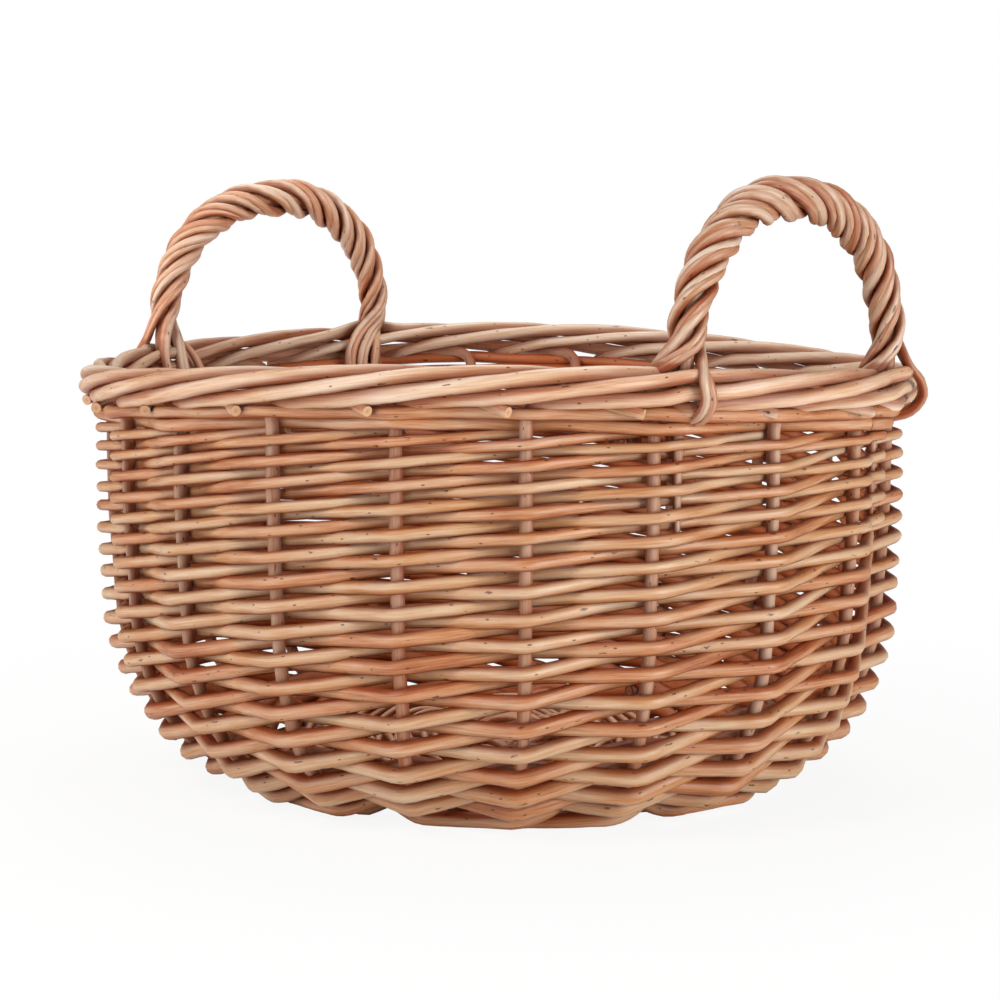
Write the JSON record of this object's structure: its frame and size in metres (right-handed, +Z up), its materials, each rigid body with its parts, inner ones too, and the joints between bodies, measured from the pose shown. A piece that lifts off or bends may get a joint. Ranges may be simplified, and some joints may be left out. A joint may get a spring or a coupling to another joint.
{
  "type": "rattan basket",
  "caption": "Open oval wicker basket: a randed wall on a slatted round base, a rolled rim border, and two roped ear handles fixed at the ends.",
  "frame": {"origin": "middle of the basket's footprint box, on the surface that it stands on", "axes": "+X along the longer way to the right handle, +Y across, +Z up"},
  "size_m": [0.3978, 0.3624, 0.2704],
  "materials": {
    "willow_stake": "peeled buff willow, satin",
    "willow_siding": "peeled buff willow, satin",
    "willow_wale": "peeled buff willow, satin",
    "willow_base": "peeled buff willow, satin",
    "willow_handle": "peeled buff willow, satin"
  },
  "bodies": {
    "root": {"stake_01": "willow_stake", "stake_02": "willow_stake", "stake_03": "willow_stake", "stake_04": "willow_stake", "stake_05": "willow_stake", "stake_06": "willow_stake", "stake_07": "willow_stake", "stake_08": "willow_stake", "stake_09": "willow_stake", "stake_10": "willow_stake", "stake_11": "willow_stake", "stake_12": "willow_stake", "stake_13": "willow_stake", "stake_14": "willow_stake", "stake_15": "willow_stake", "stake_16": "willow_stake", "stake_17": "willow_stake", "stake_18": "willow_stake", "stake_19": "willow_stake", "stake_20": "willow_stake", "siding_rod_01": "willow_siding", "siding_rod_02": "willow_siding", "siding_rod_03": "willow_siding", "siding_rod_04": "willow_siding", "siding_rod_05": "willow_siding", "siding_rod_06": "willow_siding", "siding_rod_07": "willow_siding", "siding_rod_08": "willow_siding", "siding_rod_09": "willow_siding", "siding_rod_10": "willow_siding", "siding_rod_11": "willow_siding", "siding_rod_12": "willow_siding", "siding_rod_13": "willow_siding", "siding_rod_14": "willow_siding", "siding_rod_15": "willow_siding", "siding_rod_16": "willow_siding", "siding_rod_17": "willow_siding", "siding_rod_18": "willow_siding", "siding_rod_19": "willow_siding", "siding_rod_20": "willow_siding", "upsett_rod_1": "willow_wale", "upsett_rod_2": "willow_wale", "top_wale_rod": "willow_wale", "base_slit_stick_1": "willow_base", "base_slit_stick_2": "willow_base", "base_slit_stick_3": "willow_base", "base_through_stick_1": "willow_base", "base_through_stick_2": "willow_base", "base_weaver_1": "willow_base", "base_weaver_2": "willow_base", "right_handle_bow": "willow_handle", "right_handle_wrap_1": "willow_handle", "right_handle_wrap_2": "willow_handle", "right_handle_wrap_3": "willow_handle", "right_handle_wrap_4": "willow_handle", "left_handle_bow": "willow_handle", "left_handle_wrap_1": "willow_handle", "left_handle_wrap_2": "willow_handle", "left_handle_wrap_3": "willow_handle", "left_handle_wrap_4": "willow_handle"}
  },
  "joints": []
}
